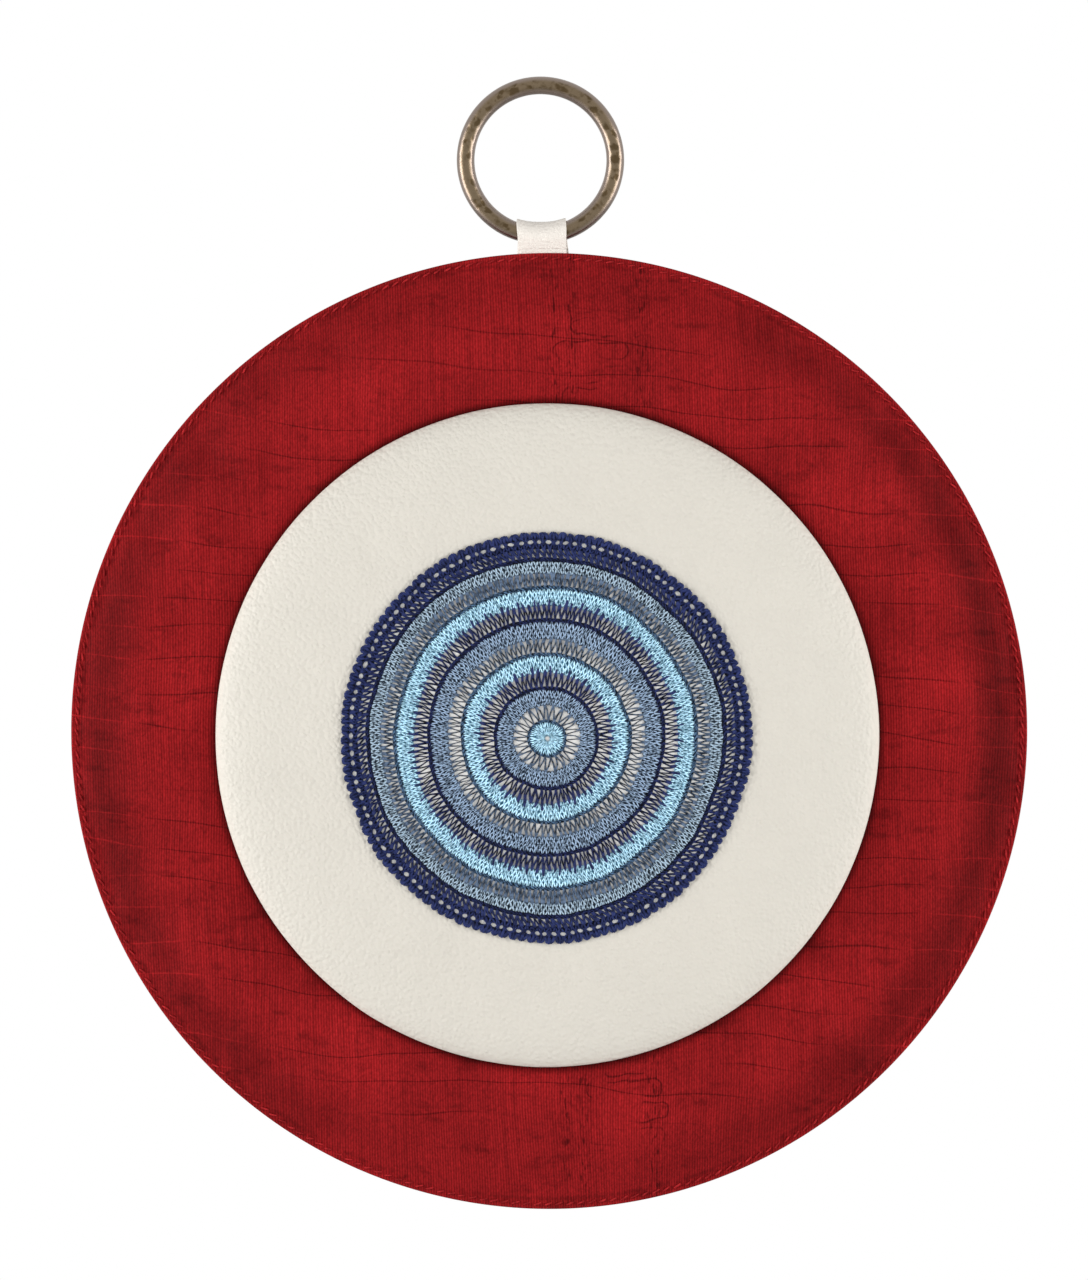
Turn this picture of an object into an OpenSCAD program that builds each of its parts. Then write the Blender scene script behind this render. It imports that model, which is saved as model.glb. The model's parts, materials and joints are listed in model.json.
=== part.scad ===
// Evil eye wall ornament: a red cloth panel with a padded leather medallion and a
// crocheted eye, hung by a brass ring in a leather tab.
// Millimetres, +Z up, the front faces -Y. The origin is the point of the ring's
// inner edge that rests on the hook.

/* [Ring] */
// Inside diameter of the ring
ring_inner_d = 40; // [30:1:55]
// Thickness of the ring's wire
wire_d = 5.4; // [3:0.1:8]

/* [Tab] */
// Width of the leather tab
tab_w = 15; // [10:0.5:22]
// Thickness of the tab's leather
tab_leather_t = 1; // [0.6:0.1:1.6]
// Room between the wire and the leather loop round it
wire_clearance = 0.25; // [0.15:0.05:0.6]
// Gap between the underside of the ring and the rim of the panel
tab_drop = 2.7; // [2.3:0.1:8]
// Length of the tab's tails inside the panel
tail_length = 18; // [8:1:40]

/* [Panel] */
// Diameter of the cloth panel
panel_d = 290; // [255:1:420]
// Thickness of the stiff board inside the panel
core_t = 2.2; // [1.6:0.1:5]
// Thickness of the cloth covers
cover_t = 0.6; // [0.4:0.1:1.2]
// Thickness of the wadding under the front cover
wadding_t = 3.5; // [1.5:0.1:8]
// Width of the flat sewn edge of the panel
sewn_edge_w = 4; // [3.5:0.1:8]
// Width of the band where the front rolls down to the sewn edge
roll_w = 19; // [8:0.5:22]

/* [Rim stitching] */
// Distance of the stitch line from the edge of the panel
stitch_inset = 1.7; // [1.6:0.1:2.4]
// Length of the seam that one stitch takes
stitch_pitch = 3.3; // [2.4:0.1:4.5]
// Gap between one stitch and the next
stitch_gap = 0.6; // [0.4:0.1:1.2]
// Thickness of the sewing thread
thread_d = 0.4; // [0.2:0.05:0.5]
// Slant of a stitch on the front, in degrees
stitch_slant = 15; // [0:1:16]
// Depth of the groove that the seam pulls into the cloth
seam_depth = 0.3; // [0.1:0.05:0.35]

/* [Medallion] */
// Diameter of the leather medallion
medallion_d = 200; // [168:1:222]
// Thickness of the medallion's leather
leather_t = 1; // [0.6:0.1:1.6]
// Height of the medallion above the panel
medallion_h = 7.5; // [6:0.1:16]
// Thickness of the medallion's board
medallion_board_t = 1.5; // [1:0.1:3]
// Width of the band where the leather rolls down to the edge
shoulder_w = 34; // [10:0.5:36]
// How far the leather tucks in below the widest line of the edge
tuck = 1.5; // [0.5:0.1:3]
// Width of the leather hem glued under the board
hem_w = 12; // [6:0.5:25]
// Sideways offset of the medallion from the middle of the panel
medallion_dx = -0.6; // [-3:0.1:3]
// Upward offset of the medallion from the middle of the panel
medallion_dz = -1.2; // [-3:0.1:3]

/* [Crocheted eye] */
// Radius of the small hole in the middle
eye_hole_r = 0.8; // [0.4:0.1:2]
// Radius of the sky blue centre
eye_centre_r = 4.7; // [3:0.1:6]
// Widths of the six line rounds, from the middle out
line_w = [1.2, 1.4, 1.4, 1.6, 1.5, 1.3]; // [1:0.1:2.5]
// Widths of the six rounds of spokes, from the middle out
spoke_w = [4.1, 4, 3.8, 3.8, 3.5, 2.5]; // [2:0.1:5]
// Widths of the five dense rounds, from the middle out
dense_w = [4.6, 4.6, 4.6, 4.8, 3.6]; // [2:0.1:6]
// Width of the scalloped edge round
edge_w = 5.5; // [4.4:0.1:7]
// Width of the dense band inside the eyelets
edge_band_w = 1.6; // [0.6:0.1:1.8]
// Size of the eyelets across their corners
eyelet_d = 1.5; // [0.8:0.1:1.8]
// Depth of the scallops
scallop_depth = 0.9; // [0.4:0.1:1.1]
// Thickness of the dense rounds
dense_t = 1.2; // [0.6:0.1:2]
// Thickness of the raised line rounds
line_t = 1.4; // [0.6:0.1:2.4]
// Thickness of the rounds of spokes
spoke_t = 0.9; // [0.5:0.1:1.6]
// Gaps in the four open rounds of spokes, from the middle out
spoke_gaps = [24, 36, 48, 56]; // [12:1:90]
// Eyelets and scallops round the edge
scallop_count = 136; // [60:2:160]
// Sideways offset of the eye from the middle of the medallion
eye_dx = -0.4; // [-2:0.1:2]
// Upward offset of the eye from the middle of the medallion
eye_dz = -0.7; // [-2:0.1:2]

/* [Hidden] */
$fn = 96;

brass = [0.43, 0.37, 0.3];
tab_cream = [0.95, 0.92, 0.88];
leather_cream = [0.89, 0.86, 0.81];
red = [0.55, 0.11, 0.12];
thread_red = [0.62, 0.16, 0.17];
board_grey = [0.6, 0.56, 0.5];
wadding_white = [0.93, 0.93, 0.9];
sky = [0.58, 0.76, 0.84];
slate = [0.42, 0.49, 0.58];
pale_slate = [0.45, 0.52, 0.59];
teal = [0.28, 0.38, 0.46];
grey = [0.47, 0.52, 0.57];
navy = [0.2, 0.24, 0.34];

// Room left between layers that lie on one another on a curve
layer_gap = 0.05;
// Room between the two plies of the tab
ply_gap = 0.1;
// Room between the tab's tails and the notch that holds them
notch_gap = 0.3;
// Room between the swinging loop and the stub of the tails below it
swing_gap = 0.3;
// Room between two rounds of crochet
round_gap = 0.1;
// Rounding of the panel's front edge
edge_rounding = 0.9;
// Room between the grooved seam and the stitches in it
groove_margin = 0.1;
// Steps in a curved stretch of a revolved outline
curve_steps = 12;
// Reach of a cutting shape past what it cuts
over = 1;

ring_r = (ring_inner_d + wire_d) / 2;
ring_z = -ring_inner_d / 2;
wire_z = ring_z - ring_r;
loop_bore_r = wire_d / 2 + wire_clearance;
loop_r = loop_bore_r + tab_leather_t;
rim_z = wire_z - wire_d / 2 - tab_drop;

panel_r = panel_d / 2;
panel_z = rim_z - panel_r;
core_r = panel_r - cover_t - layer_gap;
tail_ply_t = (core_t - ply_gap) / 2 - layer_gap;
mouth_w = tab_w + 2 * notch_gap;
edge_z = core_t / 2 + cover_t;
crown_z = edge_z + wadding_t;
roll_r1 = panel_r - sewn_edge_w;
roll_r0 = roll_r1 - roll_w;
// Share of the roll where the wadding is too thin to carry on
wadding_end = 0.84;
wadding_r = roll_r0 + wadding_end * roll_w;

stitch_r = panel_r - stitch_inset;
stitch_count = round(2 * PI * stitch_r / stitch_pitch);
stitch_length = 2 * PI * stitch_r / stitch_count - stitch_gap;
stitch_reach = (stitch_length * sin(stitch_slant) + thread_d * cos(stitch_slant)) / 2;
groove_half_w = stitch_reach + groove_margin;

medallion_r = medallion_d / 2;
flat_r = medallion_r - shoulder_w;
waist_z = leather_t + medallion_board_t;
medallion_board_r = medallion_r - leather_t - tuck - layer_gap;
hem_r = medallion_board_r - hem_w;
// Power of the curve that the leather's shoulder follows
shoulder_power = 4;

function sum(v, n) = n == 0 ? 0 : v[n - 1] + sum(v, n - 1);
function line_r(i) = eye_centre_r + sum(line_w, i) + sum(spoke_w, i) + sum(dense_w, i);
function spoke_r(i) = line_r(i) + line_w[i];
function dense_r(i) = spoke_r(i) + spoke_w[i];
edge_r0 = dense_r(5);
edge_r1 = edge_r0 + edge_w;
eyelet_r = edge_r0 + edge_band_w + eyelet_d / 2;
// Share of a spoke's pitch that is open, and the band of thread that closes the gap's ends
gap_share = 0.6;
gap_band = 0.5;
// Points on one scallop's outline
scallop_points = 5;

// Height of the front cover's outer face at radius r, from the crown to the sewn edge
function roll_z(r) = edge_z + wadding_t * (1 + cos(180 * (r - roll_r0) / roll_w)) / 2;

// Points of the roll from radius a to radius b, lowered by drop
function roll_curve(a, b, drop) = [
    for (i = [0 : curve_steps])
        let (r = a + (b - a) * i / curve_steps)
        [r, roll_z(r) - drop]
];

// Points of the medallion's shoulder, drawn in by inset, from the flat top to the waist
function shoulder_curve(inset) = [
    for (i = [0 : curve_steps])
        let (u = sin(90 * i / curve_steps))
        [flat_r + u * (shoulder_w - inset),
         waist_z + (medallion_h - inset - waist_z) * sqrt(1 - pow(u, shoulder_power))]
];

// Points of the edge below the waist, drawn in by inset, down to height low
function tuck_curve(inset, low) = [
    for (i = [0 : curve_steps])
        let (a = 90 * i / curve_steps)
        [medallion_r - inset - tuck * (1 - cos(a)), waist_z - (waist_z - low) * sin(a)]
];

function reversed(v) = [for (i = [len(v) - 1 : -1 : 0]) v[i]];

// Lays a shape modelled flat, with +Z towards the viewer, in the plane of the panel
module on_panel() translate([0, 0, panel_z]) rotate([90, 0, 0]) children();

module on_medallion() on_panel() translate([medallion_dx, medallion_dz, crown_z]) children();

module on_eye() on_medallion() translate([eye_dx, eye_dz, medallion_h]) children();

module disc(r, t) linear_extrude(t) circle(r);

module ring(r0, r1, t) linear_extrude(t) difference() {
    circle(r1);
    circle(r0);
}

// A round of crochet between two radii
module round_of(r0, r1, t) ring(r0 + round_gap / 2, r1 - round_gap / 2, t);

// One gap between two spokes, narrow at the inner end
module spoke_gap(r0, r1, count) {
    inner_w = gap_share * PI * r0 / count;
    outer_w = gap_share * 2 * PI * r1 / count;
    linear_extrude(2 * over + spoke_t)
        polygon([[r0, -inner_w / 2], [r1, -outer_w / 2], [r1, outer_w / 2], [r0, inner_w / 2]]);
}

module open_spokes(i) difference() {
    round_of(spoke_r(i), dense_r(i), spoke_t);
    for (k = [0 : spoke_gaps[i] - 1])
        rotate(360 * k / spoke_gaps[i])
            translate([0, 0, -over])
                spoke_gap(spoke_r(i) + gap_band, dense_r(i) - gap_band, spoke_gaps[i]);
}

module closed_spokes(i) round_of(spoke_r(i), dense_r(i), spoke_t);

module line_round(i) round_of(line_r(i), spoke_r(i), line_t);

module dense_round(i) round_of(dense_r(i), line_r(i + 1), dense_t);

// One row of stitches round the rim; each lies across the seam at the given slant
module stitch_row(height, slant) {
    for (k = [0 : stitch_count - 1])
        rotate(360 * k / stitch_count)
            translate([stitch_r, 0, height / 2])
                rotate(slant)
                    cube([thread_d, stitch_length, height], center = true);
}

// The mouth at the top of the rim that lets the tab into the panel
module tab_mouth(depth, height) {
    translate([-mouth_w / 2, panel_r - depth, -height / 2])
        cube([mouth_w, depth + over, height]);
}

module hanging_ring() color(brass)
    translate([0, 0, ring_z]) rotate([90, 0, 0])
        rotate_extrude()
            translate([ring_r, 0]) circle(d = wire_d);

// The bight of the tab, a leather sleeve that follows the wire
module tab_loop() color(tab_cream)
    intersection() {
        translate([0, 0, ring_z]) rotate([90, 0, 0])
            rotate_extrude()
                translate([ring_r, 0]) difference() {
                    circle(loop_r);
                    circle(loop_bore_r);
                }
        translate([-tab_w / 2, -loop_r - over, wire_z - loop_r - over])
            cube([tab_w, 2 * (loop_r + over), ring_r]);
    }

// The two plies of the tab, pared to fill the board's notch, from under the loop down into the panel
module tab_tails() color(tab_cream) {
    tails_top = wire_z - loop_r - swing_gap;
    tails_bottom = rim_z - tail_length;
    for (side = [-1, 1])
        translate([-tab_w / 2, side * (tail_ply_t + ply_gap) / 2 - tail_ply_t / 2, tails_bottom])
            cube([tab_w, tail_ply_t, tails_top - tails_bottom]);
}

module front_cover() color(red) on_panel()
    difference() {
        rotate_extrude() polygon(concat(
            [[0, crown_z]],
            roll_curve(roll_r0, roll_r1, 0),
            [[stitch_r - groove_half_w, edge_z],
             [stitch_r - groove_half_w, edge_z - seam_depth],
             [stitch_r + groove_half_w, edge_z - seam_depth],
             [stitch_r + groove_half_w, edge_z]],
            [for (a = [90 : -15 : 0])
                [panel_r - edge_rounding + edge_rounding * cos(a),
                 edge_z - edge_rounding + edge_rounding * sin(a)]],
            [[panel_r, -core_t / 2],
             [panel_r - cover_t, -core_t / 2],
             [panel_r - cover_t, edge_z - cover_t]],
            reversed(roll_curve(roll_r0, roll_r1, cover_t)),
            [[0, crown_z - cover_t]]
        ));
        tab_mouth(cover_t + layer_gap + over, core_t);
    }

module front_wadding() color(wadding_white) on_panel()
    rotate_extrude() polygon(concat(
        [[0, core_t / 2], [wadding_r, core_t / 2]],
        reversed(roll_curve(roll_r0, wadding_r, cover_t + layer_gap)),
        [[0, crown_z - cover_t - layer_gap]]
    ));

module core_board() color(board_grey) on_panel()
    difference() {
        translate([0, 0, -core_t / 2]) disc(core_r, core_t);
        tab_mouth(tail_length + notch_gap, core_t + over);
    }

module back_cover() color(red) on_panel()
    difference() {
        translate([0, 0, -core_t / 2 - cover_t]) disc(panel_r, cover_t);
        translate([0, 0, -core_t / 2 - cover_t - over])
            ring(stitch_r - groove_half_w, stitch_r + groove_half_w, seam_depth + over);
    }

// The stitches that show on the front stand a little out of their groove
module rim_needle_thread() color(thread_red) on_panel()
    translate([0, 0, edge_z - seam_depth]) stitch_row(thread_d, stitch_slant);

// The stitches on the back lie below the face of the cloth
module rim_bobbin_thread() color(thread_red) on_panel()
    translate([0, 0, -core_t / 2 - cover_t + layer_gap]) stitch_row(seam_depth - layer_gap, 0);

module medallion_leather() color(leather_cream) on_medallion()
    rotate_extrude() polygon(concat(
        [[0, medallion_h]],
        shoulder_curve(0),
        tuck_curve(0, 0),
        [[hem_r, 0], [hem_r, leather_t]],
        reversed(tuck_curve(leather_t, leather_t)),
        reversed(shoulder_curve(leather_t)),
        [[0, medallion_h - leather_t]]
    ));

module medallion_foam() color(wadding_white) on_medallion()
    rotate_extrude() polygon(concat(
        [[0, waist_z]],
        reversed(shoulder_curve(leather_t + layer_gap)),
        [[0, medallion_h - leather_t - layer_gap]]
    ));

module medallion_board() color(board_grey) on_medallion()
    translate([0, 0, leather_t]) disc(medallion_board_r, medallion_board_t);

module medallion_glue_pad() color(wadding_white) on_medallion()
    disc(hem_r - layer_gap, leather_t);

module sky_centre() color(sky) on_eye()
    ring(eye_hole_r, eye_centre_r - round_gap / 2, dense_t);

module teal_line_1() color(teal) on_eye() line_round(0);
module grey_spokes_1() color(grey) on_eye() open_spokes(0);
module slate_round_1() color(slate) on_eye() dense_round(0);
module navy_line_1() color(navy) on_eye() line_round(1);
module navy_spokes_1() color(navy) on_eye() open_spokes(1);
module sky_round_1() color(sky) on_eye() dense_round(1);
module teal_line_2() color(teal) on_eye() line_round(2);
module grey_spokes_2() color(grey) on_eye() open_spokes(2);
module slate_round_2() color(slate) on_eye() dense_round(2);
module navy_line_2() color(navy) on_eye() line_round(3);
module navy_spokes_2() color(navy) on_eye() open_spokes(3);
module sky_round_2() color(sky) on_eye() dense_round(3);
module blue_line() color(teal) on_eye() line_round(4);
module grey_spokes_3() color(grey) on_eye() closed_spokes(4);
module pale_slate_round() color(pale_slate) on_eye() dense_round(4);
module navy_line_3() color(navy) on_eye() line_round(5);
module navy_spokes_3() color(navy) on_eye() closed_spokes(5);

// The last round: a dense band, a row of eyelets and a scalloped edge
module navy_edge() color(navy) on_eye()
    linear_extrude(dense_t) difference() {
        polygon([
            for (k = [0 : scallop_count * scallop_points - 1])
                let (a = 360 * k / (scallop_count * scallop_points))
                let (r = edge_r1 - scallop_depth * (1 - abs(sin(a * scallop_count / 2))))
                [r * cos(a), r * sin(a)]
        ]);
        circle(edge_r0 + round_gap / 2);
        for (k = [0 : scallop_count - 1])
            rotate(360 * (k + 0.5) / scallop_count)
                translate([eyelet_r, 0])
                    circle(d = eyelet_d, $fn = 6);
    }

hanging_ring();
tab_loop();
tab_tails();
front_cover();
front_wadding();
core_board();
back_cover();
rim_needle_thread();
rim_bobbin_thread();
medallion_leather();
medallion_foam();
medallion_board();
medallion_glue_pad();
sky_centre();
teal_line_1();
grey_spokes_1();
slate_round_1();
navy_line_1();
navy_spokes_1();
sky_round_1();
teal_line_2();
grey_spokes_2();
slate_round_2();
navy_line_2();
navy_spokes_2();
sky_round_2();
blue_line();
grey_spokes_3();
pale_slate_round();
navy_line_3();
navy_spokes_3();
navy_edge();
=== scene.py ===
"""The looks of a round wall ornament: red cloth, padded cream leather, a crocheted eye and a brass ring."""
import json
import math

import bpy
from mathutils import Matrix, Vector, noise


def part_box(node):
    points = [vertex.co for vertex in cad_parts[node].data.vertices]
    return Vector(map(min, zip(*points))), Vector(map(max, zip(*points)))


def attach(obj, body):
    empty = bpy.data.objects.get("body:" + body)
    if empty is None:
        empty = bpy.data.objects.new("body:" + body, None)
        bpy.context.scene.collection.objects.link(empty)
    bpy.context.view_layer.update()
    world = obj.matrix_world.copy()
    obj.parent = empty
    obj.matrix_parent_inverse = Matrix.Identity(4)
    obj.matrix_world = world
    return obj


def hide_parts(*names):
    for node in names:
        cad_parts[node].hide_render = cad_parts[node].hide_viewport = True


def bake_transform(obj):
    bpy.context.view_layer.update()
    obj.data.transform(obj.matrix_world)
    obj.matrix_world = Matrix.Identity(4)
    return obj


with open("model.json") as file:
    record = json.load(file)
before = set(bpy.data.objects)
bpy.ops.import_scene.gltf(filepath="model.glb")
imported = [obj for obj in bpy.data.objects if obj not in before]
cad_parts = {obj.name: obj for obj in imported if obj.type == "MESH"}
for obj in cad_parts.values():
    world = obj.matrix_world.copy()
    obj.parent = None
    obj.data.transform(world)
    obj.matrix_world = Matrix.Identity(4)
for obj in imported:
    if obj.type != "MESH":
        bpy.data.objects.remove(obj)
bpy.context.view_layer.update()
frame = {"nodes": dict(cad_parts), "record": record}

MM = 0.001
TURN = 2 * math.pi

# Noise vectors start from the clock unless they get a seed
noise.seed_set(5)

# The photograph's frame, the size of one of its pixels on the panel, and where the panel's middle is in it
PHOTO_W = 1088
PHOTO_H = 1280
PIXEL = 0.3033 * MM
PANEL_PIXEL = (549.2, 730.9)
LEAN = math.radians(0.87)
CAMERA_AWAY = 2.2


def middle(node):
    low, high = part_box(node)
    return (low + high) / 2


def reach(node):
    low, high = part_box(node)
    return (high - low) / 2


RING = middle("hanging_ring")
WIRE_R = reach("hanging_ring").y
RING_R = reach("hanging_ring").x - WIRE_R

PANEL = middle("back_cover")
PANEL_R = reach("back_cover").x
BACK_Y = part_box("back_cover")[1].y
BOARD_BACK_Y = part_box("core_board")[1].y
BOARD_FRONT_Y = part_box("core_board")[0].y
CROWN_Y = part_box("front_cover")[0].y
CLOTH_T = BACK_Y - BOARD_BACK_Y
EDGE_Y = BOARD_FRONT_Y - CLOTH_T
RIM_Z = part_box("front_cover")[1].z

MEDALLION = middle("medallion_leather")
MEDALLION_R = reach("medallion_leather").x
MEDALLION_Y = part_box("medallion_leather")[0].y
MEDALLION_BOARD_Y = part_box("medallion_board")[0].y
GLUE_PAD_R = reach("medallion_glue_pad").x
LEATHER_T = CROWN_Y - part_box("medallion_board")[1].y

EYE = middle("navy_edge")

# The front rolls down to a flat sewn edge
SEWN_EDGE_W = 4 * MM
ROLL_W = 19 * MM
EDGE_ROUNDING = 0.9 * MM
ROLL_OUT = PANEL_R - SEWN_EDGE_W
ROLL_IN = ROLL_OUT - ROLL_W

# The row of stitches round the rim
STITCH_R = PANEL_R - 1.7 * MM
STITCHES = 273
STITCH_LENGTH = 2.1 * MM
STITCH_SLANT = math.radians(20)
THREAD_T = 0.55 * MM
SEAM_W = 1.3 * MM
SEAM_DEPTH = 0.3 * MM

# The leather's shoulder, and the tuck under its widest line
SHOULDER_W = 34 * MM
TUCK = 1.5 * MM

# The leather strap round the ring
STRAP_W = 2 * reach("tab_loop").x
STRAP_T = 1 * MM
STRAP_ROOM = 0.3 * MM


class Value:
    """The value at one socket of a material. Arithmetic on values adds Math nodes."""

    def __init__(self, tree, socket):
        self.tree = tree
        self.socket = socket

    def node(self, kind, settings=None, inputs=None, output=0):
        """Adds a node: its settings first, then the values or links of its sockets."""
        made = self.tree.nodes.new(kind)
        for name, setting in (settings or {}).items():
            setattr(made, name, setting)
        for name, given in (inputs or {}).items():
            if isinstance(given, Value):
                self.tree.links.new(given.socket, made.inputs[name])
            else:
                made.inputs[name].default_value = given
        return Value(self.tree, made.outputs[output]) if made.outputs else None

    def math(self, operation, *others):
        return self.node("ShaderNodeMath", {"operation": operation}, dict(enumerate((self, *others))))

    def __add__(self, other):
        return self.math("ADD", other)

    __radd__ = __add__

    def __sub__(self, other):
        return self.math("SUBTRACT", other)

    def __rsub__(self, other):
        return (self * -1) + other

    def __mul__(self, other):
        return self.math("MULTIPLY", other)

    __rmul__ = __mul__

    def __truediv__(self, other):
        return self.math("DIVIDE", other)

    def parts(self):
        """The three numbers of a vector."""
        made = self.tree.nodes.new("ShaderNodeSeparateXYZ")
        self.tree.links.new(self.socket, made.inputs[0])
        return [Value(self.tree, socket) for socket in made.outputs]

    def vector(self, x, y, z):
        return self.node("ShaderNodeCombineXYZ", inputs={0: x, 1: y, 2: z})

    def ease(self, low, high):
        """0 up to low, 1 from high, and smooth between them."""
        limits = {"Value": self, "From Min": low, "From Max": high, "To Min": 0.0, "To Max": 1.0}
        return self.node("ShaderNodeMapRange", {"interpolation_type": "SMOOTHSTEP"}, limits)

    def near(self, place, width):
        """1 where the value is at a place, 0 from a width away."""
        return (self - place).math("ABSOLUTE").ease(width, 0.0)

    def tint(self, low, high):
        """A colour between two, by this value."""
        return self.node("ShaderNodeMix", {"data_type": "RGBA"}, {0: self, 6: low, 7: high}, output=2)

    def clouds(self, scale=1.0, detail=2.0):
        """Soft noise round 0.5, at this vector."""
        settings = {"Vector": self, "Scale": scale, "Detail": detail, "Roughness": 0.55}
        return self.node("ShaderNodeTexNoise", inputs=settings)

    def bump(self, depth):
        """A normal that stands up where this value is high."""
        return self.node("ShaderNodeBump", inputs={"Height": self, "Distance": depth, "Strength": 1.0})


def colour(red, green, blue):
    """A shader colour from the 0 to 255 values of a picture."""
    def linear(level):
        share = level / 255
        return share / 12.92 if share <= 0.04045 else ((share + 0.055) / 1.055) ** 2.4
    return (linear(red), linear(green), linear(blue), 1.0)


def shade(tone, factor):
    """A colour made darker or lighter by a number."""
    return tuple(level * factor for level in tone[:3]) + (1.0,)


def new_finish(name):
    """A new material, and the place on the piece, in metres, that its pattern reads."""
    material = bpy.data.materials.new(name)
    material.use_nodes = True
    tree = material.node_tree
    tree.nodes.clear()
    place = Value(tree, tree.nodes.new("ShaderNodeTexCoord").outputs["Object"])
    return material, place


def surface(place, **inputs):
    """Ends a material with one shader."""
    named = {name.replace("_", " "): given for name, given in inputs.items()}
    shader = place.node("ShaderNodeBsdfPrincipled", inputs=named)
    place.node("ShaderNodeOutputMaterial", inputs={"Surface": shader})


# The finishes

def watered_cloth(name, middle_tone, figure):
    """Ribbed red cloth with a watered finish: ribs, weft lines, and water marks as strong as figure."""
    material, place = new_finish(name)
    x, y, up = place.parts()
    z = up - PANEL.z
    radius = (x * x + z * z).math("SQRT")

    wander = place.clouds(14.0, 1.0)
    rib_pitch = 0.8 * MM
    count = x / rib_pitch + wander * 7
    rib = (count * TURN).math("COSINE") * 0.5 + 0.5
    streak = place.vector(count * 0.9, y * 40, z * 45).clouds(1.0, 1.0)
    grain = place.vector(count * 1.3, y * 900, z * 1150).clouds(1.0, 1.0)
    mottle = place.vector(x * 26, y * 26, z * 40).clouds(1.0, 4.0)
    smudge = place.vector(x * 85, y * 120, z * 260).clouds(1.0, 3.0)

    # Long thin weft lines, which fall a little towards the right and come and go
    weft_gap = 9.5 * MM
    drift = place.vector(x * 11, y, z * 22).clouds(1.0, 2.0)
    level = (z + x * 0.07) / weft_gap + drift * 2.0
    row = level.math("FLOOR")
    shown = place.vector(x * 16, row * 5.3, row * 3.1).clouds(1.0, 1.0).ease(0.37, 0.50)
    dotted = 1 - rib * 0.45
    weft_line = (level - row).near(0.5, 0.04) * shown * dotted * figure
    outer = radius.ease(PANEL_R - 26 * MM, PANEL_R - 12 * MM)
    sideways = x / PANEL_R
    # Painted sheen: at the sides near the rim the weft lines are painted paler, as if catching the light.
    painted_sheen = outer * (sideways * sideways).ease(0.25, 0.6)

    # Water marks: fingers across the cloth above and below the medallion, and dark dashes at their ends
    finger_pitch = 7.2 * MM
    finger_r = 2.6 * MM
    finger_reach = 11.4 * MM
    waver = (place.clouds(45.0, 2.0) * 4.4 + place.clouds(210.0, 1.0) * 2.2) * MM
    tall = (z + x * 0.05 + waver) / finger_pitch
    finger_row = tall.math("FLOOR")
    finger_z = (tall - finger_row - 0.5) * finger_pitch
    shift = place.vector(finger_row * 3.7, finger_row * 1.9, finger_row * 0.7).clouds(1.0, 0.0) - 0.5
    finger_x = x - 19.8 * MM - shift * 20 * MM
    past_end = (finger_x.math("ABSOLUTE") - (finger_reach - finger_r)).math("MAXIMUM", 0.0)
    outline = (past_end * past_end + finger_z * finger_z).math("SQRT") - finger_r
    high_and_low = z.math("ABSOLUTE").ease(96 * MM, 104 * MM) * (1 - outer)
    broken = place.clouds(95.0, 2.0).ease(0.44, 0.54)
    finger = outline.near(0.0, 0.5 * MM) * broken * dotted * high_and_low * figure
    column = x.near(3.3 * MM, 3 * MM) + x.near(8.4 * MM, 3 * MM) + x.near(30 * MM, 5 * MM)
    dash = place.vector(count * 1.0, y, z * 270).clouds(1.0, 1.0).ease(0.54, 0.64)
    dashes = (column * dash).math("MINIMUM", 1.0) * z.math("ABSOLUTE").ease(92 * MM, 98 * MM) * figure

    # Painted shade: darker are the roll near the rim, most of all at the sides, the seam and the crease by
    # the leather
    roll_shade = (PANEL_R - radius).near(9 * MM, 12 * MM) * (sideways * sideways * 0.45 + sideways * 0.07 + 0.10)
    seam = radius.near(STITCH_R - 1.5 * MM, 1.2 * MM) * place.clouds(160.0, 2.0).ease(0.38, 0.6)
    # Painted shadow: the cloth is painted darker beside the leather, darkest at its edge.
    off_x = x - MEDALLION.x
    off_z = up - MEDALLION.z
    from_leather = (off_x * off_x + off_z * off_z).math("SQRT") - MEDALLION_R
    crease_shadow = from_leather.ease(3.2 * MM, -0.2 * MM) * figure
    tone = (rib * 0.54 + 0.71) * (streak * 0.6 + 0.7) * (grain * 1.05 + 0.475) * (mottle * 1.0 + 0.5)
    tone = tone * (1 - smudge.ease(0.56, 0.72) * 0.28) * (1 - roll_shade) * (1 - seam * 0.3) * (1 - crease_shadow * 0.8)
    tone = tone * (1 - finger * 0.72) * (1 - dashes * 0.6)
    tone = tone * (1 - weft_line * (1 - outer) * 0.65) * (weft_line * painted_sheen * 0.75 + 1)
    hue = (tone * 0.5).tint(shade(middle_tone, 0.0), shade(middle_tone, 2.0))
    relief = rib * 0.6 + grain * 0.3 + weft_line * 0.8 - finger * 0.5
    surface(place, Base_Color=hue, Roughness=0.62, Specular_IOR_Level=0.05, Normal=relief.bump(0.07 * MM))
    return material


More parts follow.
